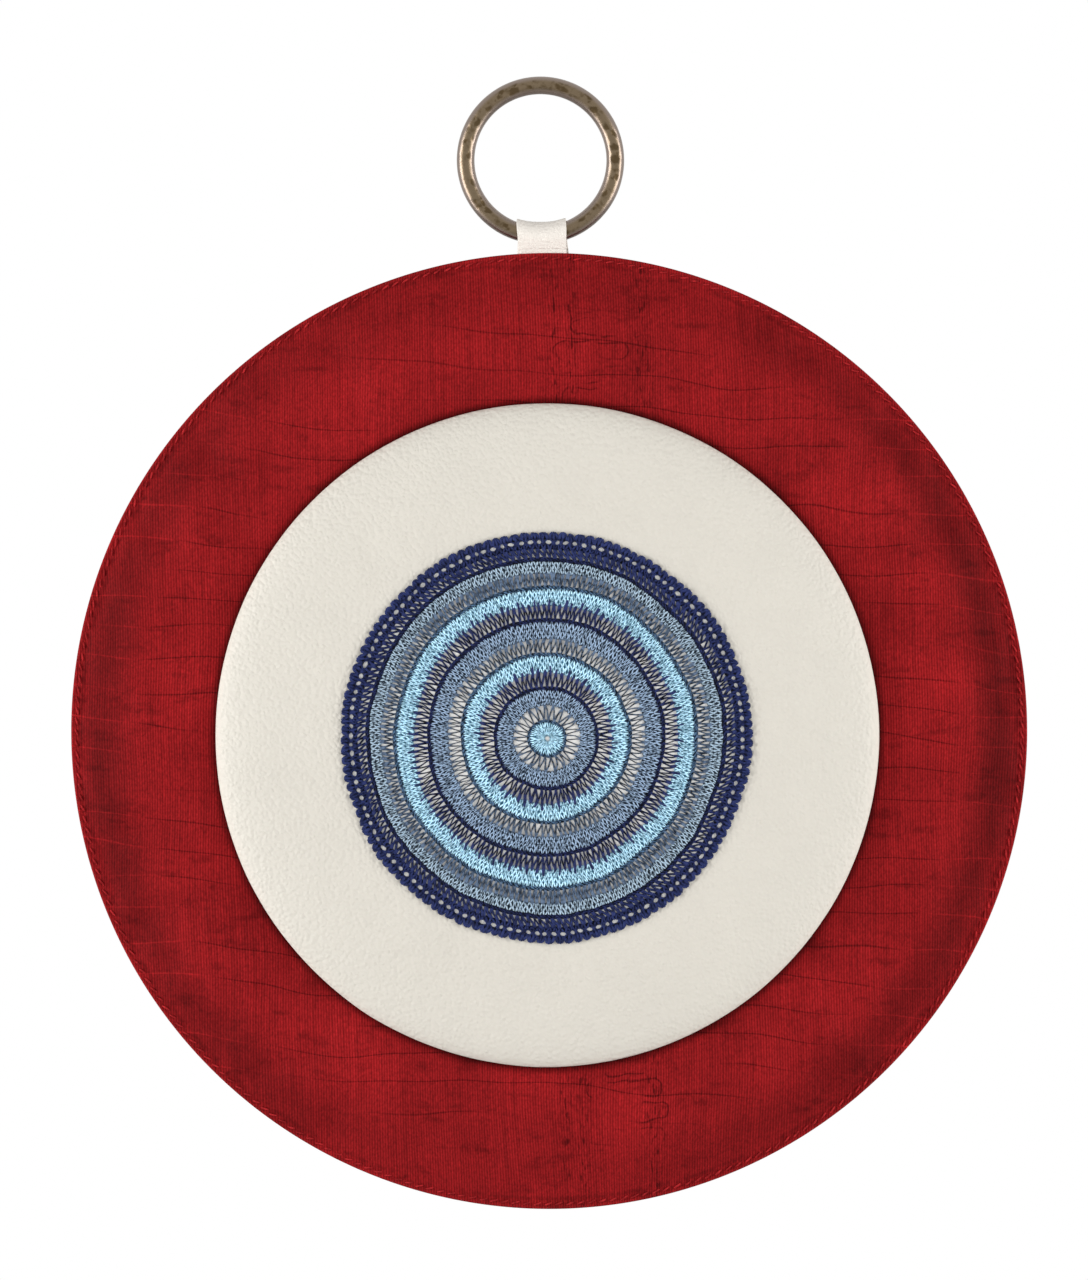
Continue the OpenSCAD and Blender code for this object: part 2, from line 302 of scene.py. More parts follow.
def pebbled_leather(name, tone, pebble, wrinkle, fold):
    """Soft leather, painted near white under the eye against the shade of the crochet: grain as large as
    pebble, faint wrinkles, a fold at a height with painted shade along it.
    """
    material, place = new_finish(name)
    spread = place.node("ShaderNodeTexNoise", inputs={"Vector": place, "Scale": 500.0}, output=1)
    warp = place.node("ShaderNodeVectorMath", {"operation": "SCALE"}, {0: spread, "Scale": 0.9 * MM})
    warped = place.node("ShaderNodeVectorMath", {"operation": "ADD"}, {0: place, 1: warp})
    pebbles = warped.node("ShaderNodeTexVoronoi", {"feature": "SMOOTH_F1"},
                          {"Vector": warped, "Scale": 1 / pebble, "Smoothness": 0.35})
    creases = warped.node("ShaderNodeTexVoronoi", {"feature": "DISTANCE_TO_EDGE"},
                          {"Vector": warped, "Scale": 0.45 / pebble}).ease(0.0, 0.10)
    patches = place.clouds(60.0, 2.0)
    pores = place.clouds(3800.0, 1.0)
    shine = patches * 0.12 + 0.46
    x, _, up = place.parts()
    # Painted shade: along the fold the colour is painted darker, as the bend shades it, and the bump dents
    # it.
    folded = up.near(fold, 0.3 * MM) * place.clouds(900.0, 1.0).ease(0.35, 0.6)
    light = (patches * 0.7 + pores * 0.3) * (1 - folded)
    tone_and_fold_shade = light.tint(shade(tone, 0.955), shade(tone, 1.045))
    # Painted light: under the eye the leather is painted near white, to offset the shade between the
    # crochet's stitches.
    off_x = x - EYE.x
    off_z = up - EYE.z
    painted_light_under_eye = (off_x * off_x + off_z * off_z).math("SQRT").ease(62 * MM, 60 * MM)
    tint = painted_light_under_eye.tint(tone_and_fold_shade, colour(246, 245, 242))
    relief = (1 - pebbles) * 1.1 + creases * patches.ease(0.45, 0.7) * wrinkle + pores * 0.12 - folded * 0.8
    normal = relief.bump(0.22 * pebble)
    surface(place, Base_Color=tint, Roughness=shine, Specular_IOR_Level=0.3, Normal=normal)
    return material


def aged_brass():
    """Dull brown brass, darker in the hammer marks, and painted paler and greyer on the flanks of the wire
    as a painted reflection.
    """
    material, place = new_finish("aged_brass")
    dents = place.node("ShaderNodeAttribute", {"attribute_name": "dent"}, output=2)
    face = place.node("ShaderNodeAttribute", {"attribute_name": "face"}, output=2)
    stain = place.clouds(420.0, 4.0)
    fine = place.clouds(2600.0, 2.0)
    # Painted reflection: the flanks of the wire are painted paler and greyer than its olive front face.
    body = face.tint(colour(136, 123, 114), colour(118, 103, 83))
    worn = (dents * 0.8 + stain.ease(0.46, 0.70) * face * 0.5 + fine * 0.2).ease(0.10, 0.95)
    hue = worn.tint(body, colour(82, 68, 48))
    rough = worn * 0.24 + fine * 0.14 + 0.22
    relief = fine * 0.6 + stain * 0.5
    surface(place, Base_Color=hue, Metallic=1.0, Roughness=rough, Normal=relief.bump(0.045 * MM))
    return material


def sewing_cotton(name, tone):
    """Thin sewing thread, paler and darker here and there."""
    material, place = new_finish(name)
    uneven = place.clouds(700.0, 3.0)
    ply = place.clouds(5200.0, 1.0)
    hue = (uneven.ease(0.3, 0.75) * 0.7 + ply * 0.3).tint(shade(tone, 0.45), shade(tone, 1.6))
    surface(place, Base_Color=hue, Roughness=0.7, Specular_IOR_Level=0.06, Normal=ply.bump(0.05 * MM))
    return material


def crochet_cotton(name, tone, painted_shade_tone, contrast):
    """Silky crochet cotton, uneven in colour, painted darker the lower it lies, towards a painted shade
    tone, as shade between its stitches.
    """
    material, place = new_finish(name)
    lift = MEDALLION_Y - place.parts()[1]
    fleck = place.clouds(1000.0, 2.0)
    ply = place.clouds(5200.0, 1.0)
    # Painted shade: the lower the yarn lies above the leather, the darker it is painted; the flecks and ply
    # are its own uneven colour.
    pale = lift.ease(0.18 * MM, 0.64 * MM) * 0.66 + fleck.ease(0.33, 0.67) * 0.76 - 0.30 + ply * 0.1
    half_tone = 0.55
    strong = (pale - half_tone) * contrast + half_tone
    hue = strong.tint(painted_shade_tone, shade(tone, 1.5))
    surface(place, Base_Color=hue, Roughness=0.55, Specular_IOR_Level=0.12, Normal=ply.bump(0.05 * MM))
    return material


def plain_fill(name, tone, grain):
    """Board or wadding inside the ornament, with fibres as fine as grain."""
    material, place = new_finish(name)
    fibres = place.clouds(1 / grain, 3.0)
    hue = fibres.tint(shade(tone, 0.85), shade(tone, 1.1))
    surface(place, Base_Color=hue, Roughness=0.9, Specular_IOR_Level=0.2, Normal=fibres.bump(0.2 * MM))
    return material


RED = colour(146, 25, 28)
RED_CLOTH = watered_cloth("red_watered_cloth", RED, 1.0)
RED_LINING = watered_cloth("red_back_cloth", shade(RED, 0.85), 0.0)
RED_THREAD = sewing_cotton("red_sewing_thread", colour(164, 36, 39))
CREAM_LEATHER = pebbled_leather("cream_leather", colour(227, 222, 211), 1.25 * MM, 0.1, RIM_Z)
TAB_LEATHER = pebbled_leather("tab_leather", colour(248, 241, 232), 0.8 * MM, 0.6, RIM_Z + 1.1 * MM)
BRASS = aged_brass()
GREYBOARD = plain_fill("greyboard", colour(160, 150, 135), 0.6 * MM)
WADDING = plain_fill("white_wadding", colour(238, 238, 232), 1.5 * MM)
# Each yarn: its tone, the painted shade tone of its low-lying parts, and how strongly lift and flecks
# spread its colour.
YARN = {
    "sky_yarn": crochet_cotton("sky_cotton", colour(192, 229, 245), colour(60, 118, 145), 1.0),
    "slate_yarn": crochet_cotton("slate_cotton", colour(144, 165, 189), colour(33, 46, 63), 1.8),
    "pale_slate_yarn": crochet_cotton("pale_slate_cotton", colour(158, 178, 194), colour(42, 55, 68), 1.8),
    "teal_yarn": crochet_cotton("dark_teal_cotton", colour(84, 115, 147), colour(6, 19, 35), 1.0),
    "grey_yarn": crochet_cotton("grey_cotton", colour(88, 105, 128), colour(11, 20, 33), 1.0),
    "navy_yarn": crochet_cotton("navy_cotton", colour(38, 47, 90), colour(0, 1, 7), 1.0),
}


# Working by hand in edit mode

def pick(piece):
    bpy.ops.object.select_all(action="DESELECT")
    piece.select_set(True)
    bpy.context.view_layer.objects.active = piece


def start_point(name, place):
    """A new piece that is one vertex, left in edit mode to be drawn out."""
    bpy.ops.object.select_all(action="DESELECT")
    bpy.ops.mesh.primitive_plane_add(size=MM, location=place)
    piece = bpy.context.object
    piece.name = name
    bpy.ops.object.transform_apply(location=True, rotation=True, scale=True)
    bpy.ops.object.mode_set(mode="EDIT")
    bpy.ops.mesh.select_all(action="SELECT")
    bpy.ops.mesh.merge(type="CENTER")
    return piece


def draw_out(step):
    bpy.ops.mesh.extrude_region_move(TRANSFORM_OT_translate={"value": step})


def tidy_mesh():
    """Merges what meets, points the faces outwards and leaves edit mode."""
    bpy.ops.mesh.select_all(action="SELECT")
    bpy.ops.mesh.remove_doubles(threshold=0.002 * MM)
    bpy.ops.mesh.normals_make_consistent(inside=False)
    bpy.ops.object.mode_set(mode="OBJECT")
    bpy.ops.object.shade_smooth()


def turned(name, centre, outline, steps):
    """A round piece: an outline of (radius, y) points, drawn out from one vertex and spun round."""
    piece = start_point(name, (centre.x + outline[0][0], outline[0][1], centre.z))
    for (radius, y), (next_radius, next_y) in zip(outline, outline[1:]):
        draw_out((next_radius - radius, next_y - y, 0))
    bpy.ops.mesh.select_all(action="SELECT")
    bpy.ops.mesh.spin(steps=steps, angle=TURN, center=(centre.x, 0, centre.z), axis=(0, 1, 0))
    tidy_mesh()
    return piece


def apply_modifier(piece, kind, **settings):
    pick(piece)
    modifier = piece.modifiers.new(kind.lower(), kind)
    for name, setting in settings.items():
        setattr(modifier, name, setting)
    bpy.ops.object.modifier_apply(modifier=modifier.name)


def close_middle(piece, centre, radius):
    """Fills the open middle of a round sheet, inside a radius, up to one point."""
    pick(piece)
    for vertex in piece.data.vertices:
        vertex.select = from_middle(vertex.co, centre) < radius
    for edge in piece.data.edges:
        edge.select = all(piece.data.vertices[index].select for index in edge.vertices)
    for face in piece.data.polygons:
        face.select = False
    bpy.ops.object.mode_set(mode="EDIT")
    bpy.ops.mesh.extrude_region_move()
    bpy.ops.mesh.merge(type="CENTER")
    tidy_mesh()
    face_forward(piece)


def face_forward(piece):
    """Turns an open sheet the right way round: its foremost face looks forward."""
    foremost = min(piece.data.polygons, key=lambda face: face.center.y)
    if foremost.normal.y > 0:
        piece.data.flip_normals()


def from_middle(co, centre):
    return math.hypot(co.x - centre.x, co.z - centre.z)


def swell(piece, held, push, spare, cap):
    """Lets a cover settle over its padding: cloth that is held where held says, with a push from inside."""
    group = piece.vertex_groups.new(name="held")
    before = [(vertex.co.copy(), vertex.normal.copy()) for vertex in piece.data.vertices]
    for vertex in piece.data.vertices:
        group.add([vertex.index], held(vertex.co), "REPLACE")
    pick(piece)
    modifier = piece.modifiers.new("cover", "CLOTH")
    cloth = modifier.settings
    cloth.vertex_group_mass = group.name
    cloth.quality = 6
    cloth.mass = 0.15
    cloth.tension_stiffness = 20
    cloth.compression_stiffness = 20
    cloth.bending_stiffness = 0.6
    cloth.use_pressure = True
    cloth.uniform_pressure_force = push
    cloth.shrink_min = -spare
    cloth.effector_weights.gravity = 0
    for still in range(1, 21):
        bpy.context.scene.frame_set(still)
    bpy.ops.object.modifier_apply(modifier=modifier.name)
    bpy.context.scene.frame_set(1)
    piece.vertex_groups.clear()
    for vertex, (start, outward) in zip(piece.data.vertices, before):
        move = vertex.co - start
        move -= outward * min(0, move.dot(outward))
        if move.length > cap:
            move *= cap / move.length
        vertex.co = start + move


def settle(piece, finish, body, slot, *nodes):
    """Gives a piece its finish and the body it rides on, and hides the nodes it stands for. The slot is not
    used.
    """
    piece.data.materials.clear()
    piece.data.materials.append(finish)
    if body:
        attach(piece, body)
    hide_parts(*nodes)
    return piece


# The camera and the studio

def camera():
    right = Vector((math.cos(LEAN), 0, -math.sin(LEAN)))
    up = Vector((math.sin(LEAN), 0, math.cos(LEAN)))
    across = (PHOTO_W / 2 - PANEL_PIXEL[0]) * PIXEL
    rise = (PANEL_PIXEL[1] - PHOTO_H / 2) * PIXEL
    aim = Vector((PANEL.x, 0, PANEL.z)) + right * across + up * rise
    turn = Matrix((right, up, Vector((0, -1, 0)))).transposed()
    bpy.ops.object.select_all(action="DESELECT")
    bpy.ops.object.camera_add(location=aim - Vector((0, CAMERA_AWAY, 0)), rotation=turn.to_euler())
    eye = bpy.context.object
    eye.data.sensor_fit = "HORIZONTAL"
    eye.data.sensor_width = 36
    eye.data.lens = 36 * CAMERA_AWAY / (PHOTO_W * PIXEL)
    bpy.context.scene.camera = eye


def soft_box(name, place, width, height, power):
    """A soft lamp that looks at the panel."""
    place = Vector(place)
    look = (PANEL - place).to_track_quat("-Z", "Y").to_euler()
    bpy.ops.object.select_all(action="DESELECT")
    bpy.ops.object.light_add(type="AREA", location=place, rotation=look)
    lamp = bpy.context.object
    lamp.name = name
    lamp.data.shape = "RECTANGLE"
    lamp.data.size = width
    lamp.data.size_y = height
    lamp.data.energy = power
    lamp.visible_camera = False


def studio():
    """White to the eye and in reflections, softer as light; a soft lamp at each side and a pale floor."""
    world = bpy.data.worlds.new("studio")
    world.use_nodes = True
    tree = world.node_tree
    tree.nodes.clear()
    rays = tree.nodes.new("ShaderNodeLightPath")
    seen = Value(tree, rays.outputs["Is Camera Ray"])
    for kind in ("Is Glossy Ray", "Is Transmission Ray"):
        seen = seen.math("MAXIMUM", Value(tree, rays.outputs[kind]))
    fill = 0.40
    strength = seen * (1 - fill) + fill
    light = seen.node("ShaderNodeBackground", inputs={"Color": (1, 1, 1, 1), "Strength": strength})
    seen.node("ShaderNodeOutputWorld", inputs={"Surface": light})
    bpy.context.scene.world = world

    soft_box("left_lamp", (-0.95, -0.42, -0.12), 0.5, 0.9, 8.8)
    soft_box("right_lamp", (0.95, -0.42, -0.12), 0.5, 0.9, 7.4)

    floor_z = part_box("front_cover")[0].z - 0.1
    bpy.ops.object.select_all(action="DESELECT")
    bpy.ops.mesh.primitive_plane_add(size=1.6, location=(0, 0, floor_z))
    floor = bpy.context.object
    floor.name = "floor"
    material, place = new_finish("pale_floor")
    pale = place.clouds(8.0).tint(colour(238, 238, 238), colour(246, 246, 246))
    surface(place, Base_Color=pale, Roughness=0.8)
    floor.data.materials.append(material)
    bpy.context.scene.view_settings.view_transform = "Standard"


# The ring and its strap

def hanging_ring():
    """A ring of round wire with hammer marks."""
    bpy.ops.object.select_all(action="DESELECT")
    bpy.ops.mesh.primitive_torus_add(
        major_segments=420, minor_segments=56, major_radius=RING_R, minor_radius=WIRE_R,
        location=RING, rotation=(math.pi / 2, 0, 0))
    ring = bpy.context.object
    ring.name = "hammered_ring"
    bpy.ops.object.transform_apply(location=True, rotation=True, scale=True)
    mark_size = 2.1 * MM
    mark_depth = 0.2 * MM
    marks = ring.data.attributes.new("dent", "FLOAT", "POINT")
    faces = ring.data.attributes.new("face", "FLOAT", "POINT")
    outwards = [vertex.normal.copy() for vertex in ring.data.vertices]
    for index, outward in enumerate(outwards):
        vertex = ring.data.vertices[index]
        # facing: how squarely the wire looks forward. It keeps the hammer marks to the front and, as the
        # face attribute, sets the painted paler flanks of the brass.
        facing = max(0, min(1, (abs(outward.y) - 0.74) / 0.2))
        ragged = vertex.co + noise.noise_vector(vertex.co / (0.9 * MM)) * 0.35 * MM
        distances, points = noise.voronoi(ragged / mark_size)
        struck = 1 if noise.noise(points[0] * 7.3) > 0.06 else 0.2
        mark = max(0, min(1, (distances[1] - distances[0]) / 0.25 - 0.1)) * struck * facing
        marks.data[index].value = mark
        faces.data[index].value = facing
        vertex.co -= outward * mark_depth * mark
    bpy.ops.object.shade_smooth()
    return settle(ring, BRASS, "ring", "brass_ring", "hanging_ring")


def leather_strap():
    """One strap: up the front, round the wire, and down the back into the panel."""
    wire_z = RING.z - RING_R
    bend_r = WIRE_R + STRAP_ROOM + STRAP_T / 2
    leg_y = 0.53 * MM
    tail = 17.5 * MM
    drop = wire_z - RIM_Z
    leave = math.atan2(leg_y, drop) + math.acos(bend_r / math.hypot(leg_y, drop))
    bends = 20
    route = [(-leg_y, RIM_Z - tail), (-leg_y, RIM_Z - 1.5 * MM), (-leg_y, RIM_Z)]
    for step in range(bends + 1):
        angle = leave + (TURN - 2 * leave) * step / bends
        route.append((-bend_r * math.sin(angle), wire_z - bend_r * math.cos(angle)))
    route += [(leg_y, RIM_Z), (leg_y, RIM_Z - 1.5 * MM), (leg_y, RIM_Z - tail)]

    strap = start_point("leather_strap", (-STRAP_W / 2, *route[0]))
    for (y, z), (next_y, next_z) in zip(route, route[1:]):
        draw_out((0, next_y - y, next_z - z))
    across = 14
    bpy.ops.mesh.select_all(action="SELECT")
    for step in range(across):
        draw_out((STRAP_W / across, 0, 0))
    tidy_mesh()
    for vertex in strap.data.vertices:
        x, y, z = vertex.co
        high = max(0, min(1, (z - RIM_Z) / drop))
        arc = RING_R - math.sqrt(RING_R ** 2 - x ** 2)
        vertex.co.z += 0.94 * arc * high ** 1.5
        if y > 0 and z > RIM_Z - 1 * MM:
            vertex.co.x += 0.7 * MM * (1 - high)
        vertex.co.x *= 1 - 0.04 * math.sin(math.pi * high) * (1 if x < 0 else 0.2)
        vertex.co += noise.noise_vector(vertex.co / (4 * MM)) * 0.12 * MM * high
    apply_modifier(strap, "SOLIDIFY", thickness=STRAP_T, offset=0)
    apply_modifier(strap, "BEVEL", width=0.25 * MM, segments=2, limit_method="ANGLE")
    apply_modifier(strap, "SUBSURF", levels=2, render_levels=2)
    settle(strap, TAB_LEATHER, None, "tab_leather", "tab_loop", "tab_tails")
    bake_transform(strap)
    return strap


# The panel

def roll_y(radius):
    """How far forward the front cloth lies, from the crown down to the sewn edge."""
    share = max(0, min(1, (radius - ROLL_IN) / ROLL_W))
    return EDGE_Y + (CROWN_Y - EDGE_Y) * (1 + math.cos(math.pi * share)) / 2


def seam_dip(co, centre):
    """How deep the stitches pull the cloth in at a point: most at the needle holes."""
    away = abs(from_middle(co, centre) - STITCH_R)
    angle = math.atan2(co.z - centre.z, co.x - centre.x)
    hole = (1 - math.cos(STITCHES * angle)) / 2
    groove = max(0, 1 - away / SEAM_W)
    pucker = max(0, 1 - away / (5 * MM)) * 0.25
    return SEAM_DEPTH * (groove * (0.6 + 0.6 * hole) + pucker * hole)


def front_cover():
    """The red cloth: laid over the wadding, swollen by it, sewn down and turned over the edge."""
    open_r = 60 * MM
    outline = [(radius * MM, CROWN_Y) for radius in (60, 80, 92, 96, 100, 104, 108, 112, 116, 119)]
    rolls = 10
    for step in range(rolls + 1):
        radius = ROLL_IN + ROLL_W * step / rolls
        outline.append((radius, roll_y(radius)))
    outline += [(STITCH_R + offset * SEAM_W, EDGE_Y) for offset in (-1, -0.5, 0, 0.4)]
    corners = 4
    for step in range(corners + 1):
        angle = math.pi / 2 * step / corners
        outline.append((PANEL_R - EDGE_ROUNDING * (1 - math.sin(angle)),
                        EDGE_Y + EDGE_ROUNDING * (1 - math.cos(angle))))
    outline.append((PANEL_R, BOARD_BACK_Y))
    cover = turned("front_cloth", PANEL, outline, STITCHES)
    face_forward(cover)

    def held(co):
        radius = from_middle(co, PANEL)
        return 1.0 if radius < 97 * MM or radius > ROLL_OUT + 0.5 * MM else 0.0

    for vertex in cover.data.vertices:
        vertex.co.y -= 0.15 * MM * noise.noise(vertex.co * 70) * (1 - held(vertex.co))
    swell(cover, held, 2.0, 0.004, 1.6 * MM)
    apply_modifier(cover, "SUBSURF", levels=1, render_levels=1)
    close_middle(cover, PANEL, open_r + 1 * MM)
    for vertex in cover.data.vertices:
        vertex.co.y += seam_dip(vertex.co, PANEL) if vertex.co.y < EDGE_Y + 0.3 * MM else 0
    apply_modifier(cover, "SOLIDIFY", thickness=CLOTH_T, offset=-1)
    settle(cover, RED_CLOTH, "panel", "red_cloth", "front_cover")


def back_cover():
    """The cloth of the back, flat against the wall, with the under side of the seam."""
    face = [(radius * MM, BACK_Y) for radius in (0, 60, 110, 136, 140)]
    face += [(STITCH_R + offset * SEAM_W, BACK_Y) for offset in (-1, -0.5, 0, 0.5, 1)]
    outline = face + [(PANEL_R - 0.2 * MM, BACK_Y - 0.05 * MM), (PANEL_R, BACK_Y - 0.3 * MM)]
    outline += [(PANEL_R - 0.1 * MM, BOARD_BACK_Y), (0, BOARD_BACK_Y)]
    cover = turned("back_cloth", PANEL, outline, 2 * STITCHES)
    for vertex in cover.data.vertices:
        if vertex.co.y > BACK_Y - 0.01 * MM:
            vertex.co.y -= 0.7 * seam_dip(vertex.co, PANEL)
            vertex.co.y += 0.08 * MM * noise.noise(vertex.co * 55)
    settle(cover, RED_LINING, "panel", "red_lining", "back_cover")


def strand(points):
    """One length of thread through some points, each with its thickness."""
    bpy.ops.object.select_all(action="DESELECT")
    bpy.ops.curve.primitive_nurbs_path_add(location=(0, 0, 0))
    piece = bpy.context.object
    piece.data.bevel_depth = 0.5
    piece.data.bevel_resolution = 1
    piece.data.use_fill_caps = True
    piece.data.splines.clear()
    line = piece.data.splines.new("POLY")
    line.points.add(len(points) - 1)
    for knot, (place, thickness) in zip(line.points, points):
        knot.co = (*place, 1)
        knot.radius = thickness
    bpy.ops.object.convert(target="MESH")
    return bpy.context.object


def stitch(name, strands):
    """One stitch made of a few strands, joined."""
    pieces = [strand(points) for points in strands]
    pick(pieces[0])
    for piece in pieces:
        piece.select_set(True)
    bpy.ops.object.join()
    made = bpy.context.object
    made.name = name
    return made


def go_round(piece, centre, count):
    """Repeats a stitch round the middle."""
    pick(piece)
    bpy.ops.object.mode_set(mode="EDIT")
    bpy.ops.mesh.select_all(action="SELECT")
    bpy.ops.mesh.spin(steps=count - 1, dupli=True, angle=TURN * (count - 1) / count,
                      center=(centre.x, 0, centre.z), axis=(0, 1, 0))
    bpy.ops.mesh.select_all(action="SELECT")
    bpy.ops.mesh.normals_make_consistent(inside=False)
    bpy.ops.object.mode_set(mode="OBJECT")
    bpy.ops.object.shade_smooth()
    return piece


def rim_stitches(name, face_y, forward, slant, lift, *node):
    """The stitches of one face of the rim, which dip into the cloth at both ends."""
    shape = ((-0.5, -0.9, 0.7), (-0.3, 0.5, 1.0), (0, 1, 1.1), (0.3, 0.5, 1.0), (0.5, -0.9, 0.7))
    points = []
    for along, rise, thick in shape:
        run = along * STITCH_LENGTH
        place = (PANEL.x + STITCH_R - run * math.tan(slant), face_y + forward * rise * lift, PANEL.z + run)
        points.append((place, thick * THREAD_T))
    seam = go_round(stitch(name, [points]), PANEL, STITCHES)
    for vertex in seam.data.vertices:
        vertex.co += noise.noise_vector(vertex.co * 380) * 0.22 * MM
    settle(seam, RED_THREAD, "panel", "red_thread", *node)


def board_and_wadding():
    """The hidden layers: the boards keep their own shapes, the soft ones are modelled."""
    for node in ("core_board", "medallion_board"):
        board = frame["nodes"][node]
        board.data.materials.clear()
        board.data.materials.append(GREYBOARD)
    low_gap = 0.1 * MM
    end = ROLL_IN + 0.8 * ROLL_W
    outline = [(0, BOARD_FRONT_Y), (end, BOARD_FRONT_Y)]
    for step in range(9):
        radius = end + (ROLL_IN - end) * step / 8
        outline.append((radius, roll_y(radius) + CLOTH_T + low_gap))
    outline.append((0, CROWN_Y + CLOTH_T + low_gap))
    soft_layer("front_batting", PANEL, outline, "front_wadding")

    foam_y = MEDALLION_Y + LEATHER_T + low_gap
    outline = [(0, MEDALLION_BOARD_Y), (MEDALLION_R - LEATHER_T - low_gap, MEDALLION_BOARD_Y)]
    outline += shoulder(LEATHER_T + low_gap)[::-1]
    outline.append((0, foam_y))
    soft_layer("foam_pad", MEDALLION, outline, "medallion_foam")

    pad_y = CROWN_Y - LEATHER_T
    soft_layer("glue_disc", MEDALLION,
               [(0, CROWN_Y), (GLUE_PAD_R, CROWN_Y), (GLUE_PAD_R, pad_y), (0, pad_y)], "medallion_glue_pad")


def soft_layer(name, centre, outline, node):
    layer = turned(name, centre, outline, 96)
    for vertex in layer.data.vertices:
        vertex.co += noise.noise_vector(vertex.co * 130) * 0.04 * MM
    settle(layer, WADDING, "panel", "wadding", node)


# The medallion

def shoulder(inset):
    """Points of the leather's shoulder, drawn in by inset, from the flat top to its widest line."""
    waist_y = MEDALLION_BOARD_Y
    points = []
    for step in range(15):
        share = math.sin(math.pi / 2 * step / 14)
        radius = MEDALLION_R - SHOULDER_W + share * (SHOULDER_W - inset)
        points.append((radius, waist_y + (MEDALLION_Y + inset - waist_y) * math.sqrt(1 - share ** 4)))
    return points


def medallion_leather():
    """The cream leather: stretched over the foam, rolled round the edge and hemmed under the board."""
    flat_r = MEDALLION_R - SHOULDER_W
    waist_y = MEDALLION_BOARD_Y
    open_r = 20 * MM
    outline = [(radius, MEDALLION_Y) for radius in (open_r, flat_r / 2, flat_r * 0.75, flat_r * 0.95)]
    outline += shoulder(0)
    tucks = 5
    for step in range(1, tucks + 1):
        angle = math.pi / 2 * step / tucks
        outline.append((MEDALLION_R - TUCK * (1 - math.cos(angle)),
                        waist_y + (CROWN_Y - waist_y) * math.sin(angle)))
    outline += [(GLUE_PAD_R + 6 * MM, CROWN_Y), (GLUE_PAD_R + 0.2 * MM, CROWN_Y)]
    leather = turned("leather_medallion", MEDALLION, outline, 192)
    face_forward(leather)

    def held(co):
        if co.y > waist_y + 1 * MM:
            return 1.0
        return 1.0 if from_middle(co, MEDALLION) < flat_r else 0.0

    swell(leather, held, 3.0, 0.004, 1.2 * MM)
    apply_modifier(leather, "SUBSURF", levels=1, render_levels=1)
    close_middle(leather, MEDALLION, open_r + 1 * MM)
    apply_modifier(leather, "SOLIDIFY", thickness=LEATHER_T, offset=-1)
    settle(leather, CREAM_LEATHER, "panel", "cream_leather", "medallion_leather")


# The crocheted eye, worked in rounds; sizes of stitches are in millimetres

def on_eye(out, along, lift):
    """A point of the eye: so far out from its middle, along its round, and above the leather."""
    return (EYE.x + out * MM, MEDALLION_Y - lift * MM, EYE.z + along * MM)


def yarn_strand(*knots):
    return [(on_eye(out, along, lift), thickness * MM) for out, along, lift, thickness in knots]


def hand_work(piece):
    """Uneven hand work: slow sways that all the rounds share, closer and looser stitches, a tremble."""
    for vertex in piece.data.vertices:
        sway = noise.noise_vector(vertex.co * 55) * 0.8 * MM
        sway += noise.noise_vector(vertex.co * 260) * 0.28 * MM
        tremble = noise.noise_vector(vertex.co * 1100) * 0.12 * MM
        sway.y = 0
        around = Vector((vertex.co.z - EYE.z, 0, EYE.x - vertex.co.x))
        along = around / max(10 * MM, from_middle(vertex.co, EYE))
        closer = noise.noise(vertex.co * 300) * 0.8 * MM
        vertex.co += sway + tremble + along * closer


def join_rounds(name, pieces):
    pick(pieces[0])
    for piece in pieces:
        piece.select_set(True)
    bpy.ops.object.join()
    made = bpy.context.object
    made.name = name
    return made


def bed(inner, outer, thickness):
    """The flat body of a dense round, under its stitches."""
    # The bed lies low, so its yarn finish paints it in the darker painted shade tone.
    soft = 0.1
    outline = [(inner, 0.02), (inner - soft, thickness / 2), (inner, thickness), (outer, thickness),
               (outer + soft, thickness / 2), (outer, 0.02), (inner, 0.02)]
    points = [(out * MM, MEDALLION_Y - lift * MM) for out, lift in outline]
    return turned("bed", EYE, points, 160)


def v_row(inner, outer, count, offset, teeth):
    """One row of single crochet: a V in each stitch, whose legs end so far past the row as its teeth."""
    depth = outer - inner
    pitch = TURN * (inner + outer) / 2 / count
    thick = 0.31 * pitch
    legs = []
    for side in (-1, 1):
        legs.append(yarn_strand(
            (inner - 0.15, side * 0.06 * pitch, 0.25, 0.5 * thick),
            (inner + 0.35 * depth, side * 0.16 * pitch, 0.52, thick),
            (inner + 0.80 * depth, side * 0.29 * pitch, 0.50, thick),
            (outer + teeth, side * 0.37 * pitch, 0.34, 0.55 * thick)))
    row = go_round(stitch("row", legs), EYE, count)
    turn_row(row, offset * TURN / count)
    return row


def turn_row(row, angle):
    """Turns a row round the eye's middle."""
    spot = Matrix.Translation((EYE.x, 0, EYE.z))
    row.data.transform(spot @ Matrix.Rotation(angle, 4, "Y") @ spot.inverted())


def dense_round(name, inner, outer, count, rows, last_teeth):
    """A dense round: rows of single crochet on a flat body, the last with teeth over the next round."""
    depth = (outer - inner) / rows
    pieces = [bed(inner + 0.15, outer - 0.05, 0.22)]
    for row in range(rows):
        teeth = last_teeth if row == rows - 1 else 0.15
        pieces.append(v_row(inner + row * depth, inner + (row + 1) * depth, count, 0.5 * (row % 2), teeth))
    return join_rounds(name, pieces)


def line_round(name, inner, outer, count):
    """A thin dark round of slip stitches, which lie along it like a twisted cord."""
    centre = (inner + outer) / 2
    width = outer - inner
    pitch = TURN * centre / count
    twist = yarn_strand(
        (centre - 0.45 * width, -0.80 * pitch, 0.16, 0.30),
        (centre - 0.20 * width, -0.40 * pitch, 0.28, 0.42),
        (centre + 0.20 * width, 0.40 * pitch, 0.28, 0.42),
        (centre + 0.45 * width, 0.80 * pitch, 0.16, 0.30))
    cord = go_round(stitch("twist", [twist]), EYE, count)
    return join_rounds(name, [bed(inner + 0.1, outer - 0.1, 0.2), cord])


